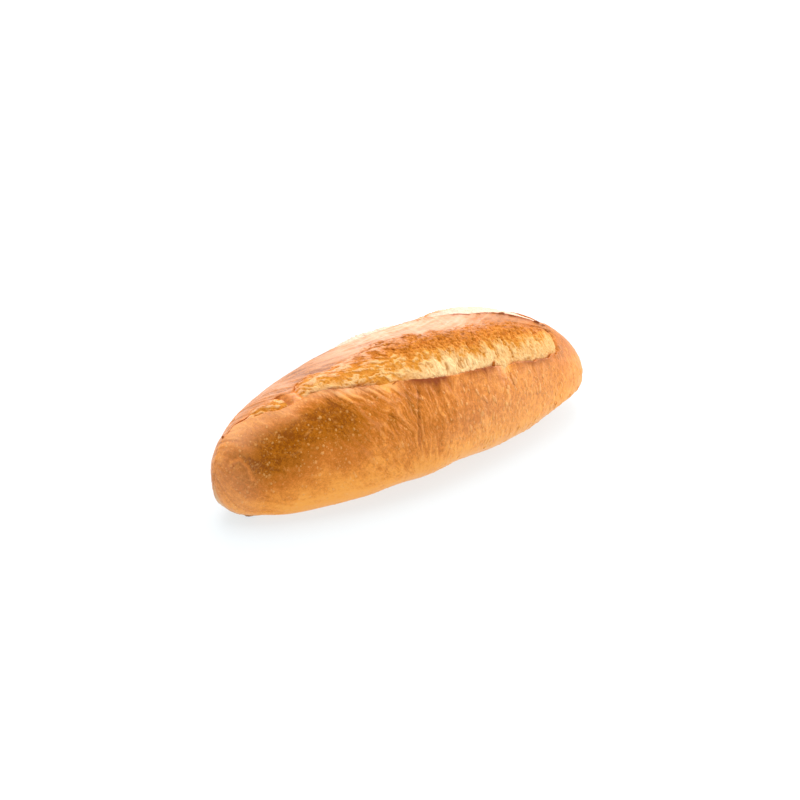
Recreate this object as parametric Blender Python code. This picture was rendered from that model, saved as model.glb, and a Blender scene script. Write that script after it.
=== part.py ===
"""A short crusty loaf of white bread: one solid with a flat sole, two long slanting cuts that opened
in the oven, each with a raised lip on its near side, and a strip of whole crust between them.

Lengths are in metres. X runs along the loaf, from the slim end to the blunt end, Z is up, and the
near side is the one at -Y.
"""

import bmesh
import bpy
import numpy as np

# The whole loaf
LENGTH = 0.240
WIDTH = 0.0923
HEIGHT = 0.0706
WIDEST_HEIGHT = 0.0230  # how high the widest line runs above the sole, in the middle
SLIM_TIP_HEIGHT, BLUNT_TIP_HEIGHT = 0.0240, 0.0167
TIP_HEIGHT_POWER = 2.5
SLIM_TIP_SWAY, BLUNT_TIP_SWAY, SWAY_POWER = 0.0066, -0.0068, 2.2  # the tips lie off the middle line
SOLE_SHARE = 0.41  # flat part of the underside, as a share of the width
SOLE_TRIM = 0.0003  # what is cut off below, so that the sole is truly flat
CREST_ROUNDNESS = 0.907  # 1 is an ellipse, less is fuller shoulders
SOFT_MIDDLE = 0.15  # how much of the half length the two halves share as one soft curve

# How each end tapers, as (power, root): its plan, its crest and its underside
SLIM_END = ((1.578, 1.701), (2.108, 2.365), (12.8, 2.0))
BLUNT_END = ((2.581, 2.196), (2.321, 1.940), (2.425, 2.0))

# The long cut on the near side: where its lip runs in plan (x, y), how wide it opened (x, width)
# and how fully (x, share). It nearly closes at a small fold before the slim end
NEAR_LIP = ((-0.1050, 0.0085), (-0.0952, -0.0001), (-0.0820, -0.0067), (-0.0620, -0.0135),
            (-0.0330, -0.0257), (0.0000, -0.0342), (0.0300, -0.0365), (0.0590, -0.0366),
            (0.0830, -0.0318))
NEAR_WIDTH = ((-0.1060, 0.0012), (-0.0975, 0.0020), (-0.0870, 0.0100), (-0.0770, 0.0055),
              (-0.0620, 0.0170), (-0.0450, 0.0325), (-0.0180, 0.0380), (0.0100, 0.0335),
              (0.0450, 0.0295), (0.0720, 0.0235), (0.0900, 0.0080))
NEAR_SHARE = ((-0.112, 0.0), (-0.100, 0.45), (-0.088, 0.80), (-0.078, 0.35), (-0.068, 0.80),
              (-0.045, 1.0), (0.062, 1.0), (0.078, 0.75), (0.093, 0.0))

# The cut behind the crest, parallel to the first
FAR_LIP = ((-0.0440, 0.0210), (-0.0260, 0.0139), (-0.0096, 0.0090), (0.0122, 0.0061),
           (0.0280, 0.0020), (0.0468, -0.0039), (0.0624, -0.0075), (0.0748, -0.0122), (0.0872, -0.0158))
FAR_WIDTH = ((-0.050, 0.0060), (-0.028, 0.0230), (0.010, 0.0300), (0.060, 0.0280), (0.084, 0.0180),
             (0.100, 0.0050))
FAR_SHARE = ((-0.054, 0.0), (-0.034, 0.80), (-0.012, 1.0), (0.070, 1.0), (0.088, 0.70), (0.103, 0.0))

# Section of a cut
LIP_RISE, LIP_FADE = 0.0012, 0.0060  # the crust swells up towards the lip
LIP_OVERHANG = 0.0006
CREASE_DEPTH, CREASE_OFFSET, CREASE_FADE = 0.0030, 0.0014, 0.0065  # the crease behind the lip
BULGE = 0.0008  # the new crust in the opening bulges a little
TORN_STEP = 0.0009  # where the opening meets the next whole crust
NARROWEST = 0.10  # least width of an opening's faces, as a share of the room they have

# The near bottom edge curls up in three places: (x, lift, reach along x)
EDGE_LIFTS = ((-0.028, 0.0008, 0.020), (0.002, 0.0022, 0.014), (0.075, 0.0012, 0.018))
EDGE_REACH = 0.016  # how far up the side a lift reaches

# The near underside is cut back: (x, lift), where along the section and how far it spreads
UNDERCUT = ((-0.110, 0.0003), (-0.095, 0.0007), (-0.080, 0.0013), (-0.060, 0.0013), (-0.045, 0.0015),
            (-0.036, 0.0020), (-0.027, 0.0023), (-0.018, 0.0017), (-0.010, 0.0023), (0.001, 0.0031),
            (0.012, 0.0024), (0.023, 0.0013), (0.045, 0.0012), (0.057, 0.0011), (0.070, 0.0023),
            (0.083, 0.0027), (0.098, 0.0017), (0.112, 0.0003))
UNDERCUT_PLACE, UNDERCUT_WIDTH = 0.020, 0.013

# The far shoulder of the slim half is flatter than a full round
SHOULDER_DROP = 0.0013
SHOULDER_X, SHOULDER_REACH = -0.025, 0.052
SHOULDER_PLACE, SHOULDER_WIDTH = 0.024, 0.016  # distance from the crest, and how far it spreads

# Mesh: faces between the lines that the sole's edges and the cuts give, and across the sole
FACES_NEAR_SIDE, FACES_LIP, FACES_NEAR_CUT, FACES_STRIP = 16, 1, 12, 6
FACES_FAR_CUT, FACES_FAR_SIDE, FACES_SOLE = 10, 14, 6
RINGS = 72
FINE_POINTS = 600
SHARP_ANGLE = 1.0  # radians

CRUST_COLOUR = (0.58, 0.27, 0.085, 1.0)
CRUST_ROUGHNESS = 0.5


def clear_scene():
    for old in list(bpy.data.objects):
        bpy.data.objects.remove(old, do_unlink=True)


def smooth_curve(points, x):
    """Value at x of the smooth curve through the points, level past both ends."""
    xs, ys = np.array(points).T
    slopes = np.gradient(ys, xs)
    x = float(np.clip(x, xs[0], xs[-1]))
    i = int(np.clip(np.searchsorted(xs, x) - 1, 0, len(xs) - 2))
    step = xs[i + 1] - xs[i]
    u = (x - xs[i]) / step
    start = (1 + 2 * u) * (1 - u) ** 2 * ys[i] + u * (1 - u) ** 2 * step * slopes[i]
    end = u * u * (3 - 2 * u) * ys[i + 1] + u * u * (u - 1) * step * slopes[i + 1]
    return start + end


def taper(x, power, root, soft=SOFT_MIDDLE):
    """1 in the middle of the loaf and 0 at the tips."""
    share = min(abs(x) / (LENGTH / 2), 1.0)
    fall = ((share ** 2 + soft ** 2) ** (power / 2) - soft ** power) / (
        (1 + soft ** 2) ** (power / 2) - soft ** power)
    return max(1 - fall, 0.0) ** (1 / root)


def hill(distance, reach):
    return np.exp(-((distance / reach) ** 2))


def widest_height(x):
    tip = SLIM_TIP_HEIGHT if x < 0 else BLUNT_TIP_HEIGHT
    return WIDEST_HEIGHT + (tip - WIDEST_HEIGHT) * abs(2 * x / LENGTH) ** TIP_HEIGHT_POWER


def middle_line(x):
    sway = SLIM_TIP_SWAY if x < 0 else BLUNT_TIP_SWAY
    return sway * abs(2 * x / LENGTH) ** SWAY_POWER


def section_size(x):
    """Half width of the section at x, and the heights of its crest, widest line and underside."""
    plan, side, below = SLIM_END if x < 0 else BLUNT_END
    middle = widest_height(x)
    crest = middle + (HEIGHT + SOLE_TRIM - middle) * taper(x, *side)
    return WIDTH / 2 * taper(x, *plan), crest, middle, middle * (1 - taper(x, *below, soft=0))


def section_outline(x):
    """The smooth section at x, from the near edge of the sole over the crest to its far edge: y, z."""
    half_width, crest, middle, underside = section_size(x)
    turn = np.linspace(1.5 * np.pi, -0.5 * np.pi, FINE_POINTS)
    across, up = np.cos(turn), np.sin(turn)
    side = np.sign(across)
    side[0], side[-1] = -1, 1
    sole = SOLE_SHARE * half_width
    upper_y = half_width * side * np.abs(across) ** CREST_ROUNDNESS
    upper_z = middle + (crest - middle) * np.abs(up) ** CREST_ROUNDNESS
    lower_y = side * (sole + (half_width - sole) * np.abs(across))
    lower_z = middle - (middle - underside) * np.abs(up)
    y = np.where(up >= 0, upper_y, lower_y) + middle_line(x)
    return y, np.where(up >= 0, upper_z, lower_z) - SOLE_TRIM


def along_outline(y, z):
    """Distance along the outline from its first point."""
    return np.concatenate([[0.0], np.cumsum(np.hypot(np.diff(y), np.diff(z)))])


def lip_distance(x, lip, y, z, run):
    """Where a lip crosses the section at x. Past the ends of the lip it keeps its share of the width."""
    inside = float(np.clip(x, lip[0][0], lip[-1][0]))
    share = (smooth_curve(lip, inside) - middle_line(inside)) / section_size(inside)[0]
    lip_y = middle_line(x) + share * section_size(x)[0]
    widest = slice(int(np.argmin(y)), int(np.argmax(y)) + 1)
    return float(np.interp(lip_y, y[widest], run[widest]))


def opening_width(x, widths, room):
    return float(np.clip(smooth_curve(widths, x), NARROWEST * room, (1 - 2 * NARROWEST) * room))


def cut_shape(beyond, width, share):
    """How far a cut lifts the surface and pushes it sideways, at a distance beyond its lip."""
    wall = np.exp(np.minimum(beyond, 0) / LIP_FADE)
    inside = np.maximum(beyond - CREASE_OFFSET, 0)
    within = np.clip(inside / width, 0, 1)
    crease = -CREASE_DEPTH * np.exp(-inside / CREASE_FADE)
    bulge = BULGE * np.sin(np.pi * within)
    step = -TORN_STEP * np.clip(3 * within, 0, 1) * (within < 1)
    lift = np.where(beyond <= 0, LIP_RISE * wall, crease + bulge + step)
    push = np.where(beyond <= 0, LIP_OVERHANG * wall ** 2, 0)
    return share * lift, share * push


def edge_lift(x, run):
    """How far the near bottom edge and underside are lifted, at a distance up the side."""
    curl = sum(lift * hill(x - at, reach) for at, lift, reach in EDGE_LIFTS) * hill(run, EDGE_REACH)
    return curl + smooth_curve(UNDERCUT, x) * hill(run - UNDERCUT_PLACE, UNDERCUT_WIDTH)


def shoulder_drop(x, beyond_crest):
    return SHOULDER_DROP * hill(x - SHOULDER_X, SHOULDER_REACH) * hill(
        beyond_crest - SHOULDER_PLACE, SHOULDER_WIDTH)


def ring_places(run_end, near_lip, near_width, far_lip, far_width):
    """Distances of one ring's points along the section: their lines follow the lips and the openings."""
    lines = (
        (0, near_lip, FACES_NEAR_SIDE),
        (near_lip, near_lip + CREASE_OFFSET, FACES_LIP),
        (near_lip + CREASE_OFFSET, near_lip + near_width, FACES_NEAR_CUT),
        (near_lip + near_width, far_lip, FACES_STRIP),
        (far_lip, far_lip + CREASE_OFFSET, FACES_LIP),
        (far_lip + CREASE_OFFSET, far_lip + far_width, FACES_FAR_CUT),
        (far_lip + far_width, run_end, FACES_FAR_SIDE),
    )
    parts = [np.linspace(start, end, faces, endpoint=False) for start, end, faces in lines]
    return np.concatenate(parts + [[run_end]])


def ring(x):
    """The points of the section at x, with both cuts in it, and back across the sole."""
    y, z = section_outline(x)
    run = along_outline(y, z)
    near_lip = lip_distance(x, NEAR_LIP, y, z, run)
    far_lip = lip_distance(x, FAR_LIP, y, z, run)
    near_width = opening_width(x, NEAR_WIDTH, far_lip - near_lip)
    far_width = opening_width(x, FAR_WIDTH, run[-1] - far_lip)
    places = ring_places(run[-1], near_lip, near_width, far_lip, far_width)

    along_y = np.interp(places, run, np.gradient(y, run))
    along_z = np.interp(places, run, np.gradient(z, run))
    near_up, near_push = cut_shape(places - near_lip, near_width, smooth_curve(NEAR_SHARE, x))
    far_up, far_push = cut_shape(places - far_lip, far_width, smooth_curve(FAR_SHARE, x))
    before_far = places < far_lip
    lift = near_up * before_far + far_up - shoulder_drop(x, places - run[int(np.argmax(z))])
    push = near_push * before_far + far_push
    ring_y = np.interp(places, run, y) - along_z * lift + along_y * push
    ring_z = np.interp(places, run, z) + along_y * lift + along_z * push
    ring_z = np.maximum(ring_z, 0) + edge_lift(x, places)

    sole_y = np.linspace(ring_y[-1], ring_y[0], FACES_SOLE + 1)[1:-1]
    sole_z = np.full(FACES_SOLE - 1, ring_z[-1])
    return [(x, py, pz) for py, pz in zip(np.append(ring_y, sole_y), np.append(ring_z, sole_z))]


def ring_stations():
    """Places of the rings along X, evenly spaced along the outline that the loaf has in plan."""
    x = -LENGTH / 2 * np.cos(np.linspace(0, np.pi, FINE_POINTS))
    half_widths = np.array([section_size(place)[0] for place in x])
    run = along_outline(x, half_widths)
    return np.interp(np.linspace(0, run[-1], RINGS + 2)[1:-1], run, x)


def add_ring(bm, x):
    """One closed loop of edges round the section at x."""
    points = [bm.verts.new(point) for point in ring(x)]
    for start, end in zip(points, points[1:] + points[:1]):
        bm.edges.new((start, end))
    return points


def close_tip(bm, points, x):
    """A fan of faces from the last ring to the tip."""
    cap = bm.faces.new(points)
    fan = bmesh.ops.poke(bm, faces=[cap])
    fan["verts"][0].co = (x, middle_line(x), widest_height(x))


def loaf_mesh():
    bm = bmesh.new()
    rings = [add_ring(bm, x) for x in ring_stations()]
    for left, right in zip(rings, rings[1:]):
        for i, point in enumerate(left):
            bm.faces.new((point, left[i - 1], right[i - 1], right[i]))
    close_tip(bm, rings[0], -LENGTH / 2)
    close_tip(bm, rings[-1], LENGTH / 2)
    bmesh.ops.recalc_face_normals(bm, faces=bm.faces)
    mesh = bpy.data.meshes.new("loaf")
    bm.to_mesh(mesh)
    bm.free()
    mesh.shade_smooth()
    mesh.set_sharp_from_angle(angle=SHARP_ANGLE)
    return mesh


def crust_material():
    crust = bpy.data.materials.new("crust")
    crust.use_nodes = True
    shader = crust.node_tree.nodes["Principled BSDF"]
    shader.inputs["Base Color"].default_value = CRUST_COLOUR
    shader.inputs["Roughness"].default_value = CRUST_ROUGHNESS
    shader.inputs["Metallic"].default_value = 0.0
    return crust


def make_loaf():
    mesh = loaf_mesh()
    mesh.materials.append(crust_material())
    loaf = bpy.data.objects.new("loaf", mesh)
    bpy.context.scene.collection.objects.link(loaf)


clear_scene()
make_loaf()
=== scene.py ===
import math
from types import SimpleNamespace

import bpy
import numpy as np
from mathutils import Matrix


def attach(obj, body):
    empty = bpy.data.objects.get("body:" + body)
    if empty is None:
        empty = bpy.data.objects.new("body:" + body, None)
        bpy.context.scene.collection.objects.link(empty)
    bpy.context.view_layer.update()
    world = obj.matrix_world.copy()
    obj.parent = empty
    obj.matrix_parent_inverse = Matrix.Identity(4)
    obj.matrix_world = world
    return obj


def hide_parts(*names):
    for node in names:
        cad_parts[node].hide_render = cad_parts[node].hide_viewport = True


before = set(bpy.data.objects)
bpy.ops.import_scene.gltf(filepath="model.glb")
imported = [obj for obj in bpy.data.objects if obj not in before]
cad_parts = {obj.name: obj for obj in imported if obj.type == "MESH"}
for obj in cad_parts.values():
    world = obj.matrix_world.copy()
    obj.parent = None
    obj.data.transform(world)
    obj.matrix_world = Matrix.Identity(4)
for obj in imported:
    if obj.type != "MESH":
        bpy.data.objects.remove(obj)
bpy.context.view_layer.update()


# 0 below low, 1 above high, with a soft start and end between them
def smoothStep(low, high, value):
    t = np.clip((value - low) / (high - low), 0, 1)
    return t * t * (3 - 2 * t)


# 1 at the middle, falling off as exp(-(distance / reach)^2)
def hill(distance, reach):
    return np.exp(-((distance / reach) ** 2))


# The sum of amount * hill(x - middle, reach) over a table of (middle, amount, reach)
def hills(table, x):
    return sum(amount * hill(x - middle, reach) for middle, amount, reach in table)


# A soft curve through the points (x, value), level past both ends
def softCurve(points, x):
    px, py = np.array(points, float).T
    slope = np.gradient(py, px)
    x = np.clip(x, px[0], px[-1])
    i = np.clip(np.searchsorted(px, x) - 1, 0, len(px) - 2)
    step = px[i + 1] - px[i]
    t = (x - px[i]) / step
    return (
        (1 + 2 * t) * (1 - t) ** 2 * py[i]
        + t * (1 - t) ** 2 * step * slope[i]
        + t * t * (3 - 2 * t) * py[i + 1]
        + t * t * (t - 1) * step * slope[i + 1]
    )


# Value noise, -1 to 1: random numbers on a square lattice, blended with 6t^5 - 15t^4 + 10t^3
def noiseFlat(a, b, seed):
    a, b = np.broadcast_arrays(a, b)
    table = np.random.default_rng(seed).uniform(-1, 1, (256, 256))
    ia, ib = np.floor(a).astype(int), np.floor(b).astype(int)
    ta, tb = a - ia, b - ib
    ta, tb = (t**3 * (t * (6 * t - 15) + 10) for t in (ta, tb))
    low = table[ia & 255, ib & 255] * (1 - ta) + table[(ia + 1) & 255, ib & 255] * ta
    high = table[ia & 255, (ib + 1) & 255] * (1 - ta) + table[(ia + 1) & 255, (ib + 1) & 255] * ta
    return low * (1 - tb) + high * tb


# The same on a cubic lattice, for points in space divided by the lattice's step
def noiseSolid(points, step, seed):
    table = np.random.default_rng(seed).uniform(-1, 1, (64, 64, 64))
    cell = points / step + 100.0
    low = np.floor(cell).astype(int)
    t = cell - low
    t = t**3 * (t * (6 * t - 15) + 10)
    total = 0
    for corner in range(8):
        side = np.array([corner & 1, corner >> 1 & 1, corner >> 2])
        at = (low + side) & 63
        share = np.prod(np.where(side == 1, t, 1 - t), axis=-1)
        total = total + share * table[at[..., 0], at[..., 1], at[..., 2]]
    return total


# Sum of solid noise at a step, half the step and so on, each half as strong
def cloud(points, step, seed, layers):
    return sum(noiseSolid(points, step / 2**i, seed + i) / 2**i for i in range(layers))


# Where each row's rising keys reach its targets, the values there, straight between the points
def interpRows(targets, keys, values):
    count, width = keys.shape
    apart = np.arange(count)[:, None] * 1.0
    at = np.searchsorted((keys + apart).ravel(), (targets + apart).ravel()).reshape(targets.shape)
    first = np.arange(count)[:, None] * width
    at = np.clip(at, first + 1, first + width - 1)
    low, high = keys.ravel()[at - 1], keys.ravel()[at]
    t = np.clip((targets - low) / np.maximum(high - low, 1e-9), 0, 1)
    return values.ravel()[at - 1] * (1 - t) + values.ravel()[at] * t


# The loaf's smooth form
form = {
    "length": 0.24,
    "width": 0.0923,
    "height": 0.0709,
    "widestHeight": 0.023,
    "tipHeights": (0.024, 0.0167),  # slim end, blunt end
    "tipSways": (0.0066, -0.0068),  # the tips lie off the middle line
    "soleShare": 0.41,
    "soleTrim": 0.0003,
    "crestRoundness": 0.907,
    "softMiddle": 0.15,
    # power and root of the plan, the crest and the underside, slim end first
    "plan": ((1.578, 1.701), (2.581, 2.196)),
    "crest": ((2.108, 2.365), (2.321, 1.94)),
    "under": ((12.8, 2.0), (2.425, 2.0)),
    # near bottom edge curls up: x, lift, reach
    "edgeLifts": ((-0.104, 0.0017, 0.013), (-0.028, 0.0008, 0.02), (0.002, 0.0022, 0.014),
                  (0.075, 0.0012, 0.018)),
    "edgeReach": 0.016,
    # the near underside is cut back: x, lift, and where along the section
    "undercut": ((-0.11, 0.0003), (-0.095, 0.0007), (-0.08, 0.0013), (-0.06, 0.0013), (-0.045, 0.0015),
                 (-0.036, 0.002), (-0.027, 0.0023), (-0.018, 0.0017), (-0.01, 0.0023), (0.001, 0.0031),
                 (0.012, 0.0024), (0.023, 0.0013), (0.045, 0.0012), (0.057, 0.0011), (0.07, 0.0023),
                 (0.083, 0.0027), (0.098, 0.0017), (0.112, 0.0003)),
    "undercutAt": (0.02, 0.013),
    # far shoulder: drop, x, reach, distance beyond the crest, spread
    "shoulder": (0.0013, -0.025, 0.052, 0.024, 0.016),
}

# The cuts: the lip as (x, y), and along x how wide the cut is and how far it is open
nearCut = {
    "lip": ((-0.105, 0.0085), (-0.0952, -0.0001), (-0.087, -0.0057), (-0.079, -0.0075), (-0.072, -0.009),
            (-0.062, -0.0135), (-0.053, -0.0186), (-0.033, -0.0257), (-0.0118, -0.0321), (0.0002, -0.0341),
            (0.03, -0.036), (0.059, -0.0366), (0.0784, -0.0337), (0.086, -0.031)),
    "width": ((-0.106, 0.0008), (-0.1, 0.0022), (-0.0945, 0.0065), (-0.088, 0.0108), (-0.082, 0.011),
              (-0.077, 0.0075), (-0.069, 0.0125), (-0.062, 0.0158), (-0.0554, 0.0172), (-0.045, 0.0215),
              (-0.036, 0.0252), (-0.027, 0.0308), (-0.018, 0.034), (0.01, 0.0314), (0.045, 0.0292),
              (0.06, 0.0282), (0.072, 0.0262), (0.08, 0.023), (0.09, 0.0175), (0.098, 0.0125)),
    "open": ((-0.11, 0), (-0.104, 0.45), (-0.097, 0.85), (-0.086, 0.95), (-0.0835, 0.7), (-0.08, 0.1),
             (-0.0758, 0.06), (-0.0722, 0.6), (-0.067, 0.95), (-0.055, 1), (0.072, 1), (0.0785, 0.92),
             (0.0827, 0.4), (0.0864, 0)),
    "ragged": 0.00072,
    "edgeRagged": 0.0022,
    "seed": 11,
}

farCut = {
    "lip": ((-0.044, 0.021), (-0.026, 0.0139), (-0.0182, 0.0111), (-0.0096, 0.009), (0.0028, 0.0073),
            (0.0122, 0.0061), (0.018, 0.0046), (0.028, 0.002), (0.0468, -0.0039), (0.0624, -0.0075),
            (0.0748, -0.0122), (0.0872, -0.0158)),
    "width": ((-0.06, 0.001), (-0.052, 0.004), (-0.044, 0.011), (-0.034, 0.019), (-0.02, 0.025),
              (0.01, 0.03), (0.04, 0.034), (0.06, 0.036), (0.076, 0.0335), (0.086, 0.0265),
              (0.094, 0.015)),
    "open": ((-0.06, 0), (-0.05, 0.5), (-0.038, 1), (0.078, 1), (0.088, 0.7), (0.096, 0)),
    "ragged": 0.0006,
    "edgeRagged": 0.0015,
    "seed": 23,
}


# 1 in the middle and 0 at the tips: (1 - s)^(1/root), s = |2x / length|^power rounded off in the middle
def taper(x, ends, soft):
    power, root = (np.where(x < 0, ends[0][k], ends[1][k]) for k in (0, 1))
    share = np.minimum(np.abs(2 * x / form["length"]), 1)
    fall = (share**2 + soft**2) ** (power / 2) - soft**power
    fall = fall / ((1 + soft**2) ** (power / 2) - soft**power)
    return np.maximum(1 - fall, 0) ** (1 / root)


# The middle of the plan, which sways to each tip: sway * |2x / length|^2.2
def middleLine(x):
    return np.where(x < 0, *form["tipSways"]) * np.abs(2 * x / form["length"]) ** 2.2


# Half width, and the heights of the crest, the widest line and the underside
def sectionSize(x):
    middle = form["widestHeight"] + (np.where(x < 0, *form["tipHeights"]) - form["widestHeight"]) * (
        np.abs(2 * x / form["length"]) ** 2.5
    )
    crest = middle + (form["height"] - middle) * taper(x, form["crest"], form["softMiddle"])
    half = form["width"] / 2 * taper(x, form["plan"], form["softMiddle"])
    return half, crest, middle, middle * (1 - taper(x, form["under"], 0))


# Each section: a full superellipse above the widest line, and below it a quarter round down to the sole.
# It runs from the sole's near edge over the crest to the sole's far edge
def sections(x, fine=700):
    half, crest, middle, under = (v[:, None] for v in sectionSize(x))
    turn = np.linspace(1.5 * np.pi, -0.5 * np.pi, fine)[None, :]
    across, up = np.cos(turn), np.sin(turn)
    side = np.sign(across)
    side[0, 0], side[0, -1] = -1, 1
    sole = form["soleShare"] * half
    n = form["crestRoundness"]
    above = up >= 0
    y = np.where(above, half * side * np.abs(across) ** n, side * (sole + (half - sole) * np.abs(across)))
    z = np.where(above, middle + (crest - middle) * np.abs(up) ** n, middle - (middle - under) * np.abs(up))
    y = y + middleLine(x)[:, None]
    z = np.maximum(z - form["soleTrim"], 0)
    step = np.hypot(np.diff(y), np.diff(z))
    run = np.concatenate([np.zeros((len(x), 1)), np.cumsum(step, axis=1)], axis=1)
    return {"x": x, "y": y, "z": z, "run": run, "half": half, "fine": fine}


# The distance along each section at which a lip crosses it; past its ends the lip keeps its share of
# the width
def lipRun(rows, cut):
    x = rows["x"]
    inside = np.clip(x, cut["lip"][0][0], cut["lip"][-1][0])
    share = (softCurve(cut["lip"], inside) - middleLine(inside)) / sectionSize(inside)[0]
    target = middleLine(x) + share * rows["half"][:, 0]
    widest = slice(rows["fine"] // 4, rows["fine"] - rows["fine"] // 4)
    found = interpRows(target[:, None], rows["y"][:, widest], rows["run"][:, widest])
    steps = noiseFlat(x / 0.0042, 0.5, cut["seed"]) + 0.5 * noiseFlat(x / 0.0014, 0.5, cut["seed"] + 1)
    return found + (cut["ragged"] * steps * softCurve(cut["open"], x))[:, None]


# How wide a cut is open, with a ragged far edge, kept inside the room that it has
def cutWidth(rows, cut, room):
    x = rows["x"][:, None]
    ragged = noiseFlat(x / 0.006, 0.5, cut["seed"] + 2) + 0.5 * noiseFlat(x / 0.002, 0.5, cut["seed"] + 3)
    width = softCurve(cut["width"], x) + cut["edgeRagged"] * ragged * softCurve(cut["open"], x)
    return np.clip(width, 0.06 * room, 0.8 * room)


# How far a cut is open, at a distance beyond its lip; the end towards the blunt side leans outwards
def openAt(cut, x, beyond):
    return softCurve(cut["open"], x - 0.4 * np.clip(beyond, 0, 0.02) * smoothStep(0.05, 0.07, x))


# The distances along each section of both cuts' lips and edges, of the crest and of the end
def markLines(rows):
    near, far, end = lipRun(rows, nearCut), lipRun(rows, farCut), rows["run"][:, -1:]
    crest = np.take_along_axis(rows["run"], np.argmax(rows["z"], axis=1)[:, None], axis=1)
    return {
        "near": near,
        "nearEdge": near + cutWidth(rows, nearCut, far - near),
        "far": far,
        "farEdge": far + cutWidth(rows, farCut, end - far),
        "end": end,
        "crest": crest,
    }


# Smooth surface points at distances along each section, with the way on round the section and the way out.
# The large shapes are added here: the cut-back underside, the bottom edge that curls up and the flatter
# far shoulder
def onLoaf(rows, places, lines):
    x = np.broadcast_to(rows["x"][:, None], places.shape)
    y, z = (interpRows(places, rows["run"], rows[k]) for k in "yz")
    middle, reach = form["undercutAt"]
    z = z + softCurve(form["undercut"], x) * hill(places - middle, reach)
    z = z + hills(form["edgeLifts"], x) * hill(places, form["edgeReach"])
    points = np.stack([x, y, z], -1)
    wide = np.gradient(points, axis=1)
    wide /= np.maximum(np.linalg.norm(wide, axis=-1, keepdims=True), 1e-9)
    out = np.cross(np.gradient(points, axis=0), wide)
    out /= np.maximum(np.linalg.norm(out, axis=-1, keepdims=True), 1e-9)
    out *= np.sign(out[len(x) // 2, places.shape[1] // 2, 2])
    drop, middle, reach, beyond, fade = form["shoulder"]
    points -= out * (drop * hill(x - middle, reach) * hill(places - lines["crest"] - beyond, fade))[..., None]
    return points, wide, out


# Places of the rings along X, at even steps along the plan's outline
def ringPlaces(count):
    x = -form["length"] / 2 * np.cos(np.linspace(0, np.pi, 2000))
    run = np.concatenate([[0], np.cumsum(np.hypot(np.diff(x), np.diff(sectionSize(x)[0])))])
    return np.interp(np.linspace(0, run[-1], count + 2)[1:-1], run, x)


# Distances between marks, as steps that may gather at either end: t^gather
def spread(start, end, steps, gather=1.0):
    return start + (end - start) * (np.arange(steps) / steps)[None, :] ** gather


# Rings of points joined into a skin, with a point at each tip; faces turned outwards by the sign of the
# volume
def ringMesh(name, rings, tips, masks):
    rows, columns = rings.shape[:2]
    points = np.concatenate([rings.reshape(-1, 3), np.array(tips, float)])
    i, j = np.meshgrid(np.arange(rows - 1), np.arange(columns), indexing="ij")
    k = (j + 1) % columns
    quads = np.stack([i * columns + j, i * columns + k, (i + 1) * columns + k, (i + 1) * columns + j], -1)
    quads = quads.reshape(-1, 4)
    ring, after = np.arange(columns), (np.arange(columns) + 1) % columns
    tip, lastRing = rows * columns, (rows - 1) * columns
    first = np.stack([np.full(columns, tip), after, ring], -1)
    last = np.stack([np.full(columns, tip + 1), lastRing + ring, lastRing + after], -1)
    a, b, c, d = (points[quads[:, n]] for n in range(4))
    volume = np.sum(np.cross(a, b) * c) + np.sum(np.cross(a, c) * d)
    faces = quads.tolist() + first.tolist() + last.tolist()
    if volume < 0:
        faces = quads[:, ::-1].tolist() + first[:, ::-1].tolist() + last[:, ::-1].tolist()
    flatMasks = {}
    for maskName, values in masks.items():
        flat = values.reshape(rows * columns, -1)
        ends = [flat[:columns].mean(0, keepdims=True), flat[-columns:].mean(0, keepdims=True)]
        flatMasks[maskName] = np.concatenate([flat, *ends])
    return maskedMesh(name, points, faces, flatMasks)


# A smooth mesh with its masks as point attributes: numbers, or vectors where a mask holds three a point
def maskedMesh(name, points, faces, masks):
    mesh = bpy.data.meshes.new(name)
    mesh.from_pydata(points, [], faces)
    for maskName, values in masks.items():
        kind, key = ("FLOAT_VECTOR", "vector") if values.shape[1] == 3 else ("FLOAT", "value")
        mesh.attributes.new(maskName, kind, "POINT").data.foreach_set(key, values.astype(np.float32).ravel())
    mesh.shade_smooth()
    return mesh


# Many small closed pieces of one mesh: points (pieces, corners, 3), the faces of one, and a value of each
# mask a corner
def manyMesh(name, points, faces, masks):
    pieces, corners = points.shape[:2]
    shift = np.arange(pieces)[:, None] * corners
    allFaces = []
    for face in faces:
        allFaces += (np.array(face)[None, :] + shift).tolist()
    flatMasks = {key: values.reshape(pieces * corners, -1) for key, values in masks.items()}
    return maskedMesh(name, points.reshape(-1, 3), allFaces, flatMasks)


# A mesh becomes a piece that rides on the loaf
def place(name, mesh, material):
    mesh.materials.append(material)
    piece = bpy.data.objects.new(name, mesh)
    bpy.context.scene.collection.objects.link(piece)
    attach(piece, "root")
    print(name, len(mesh.polygons), "faces")
    return piece


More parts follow.
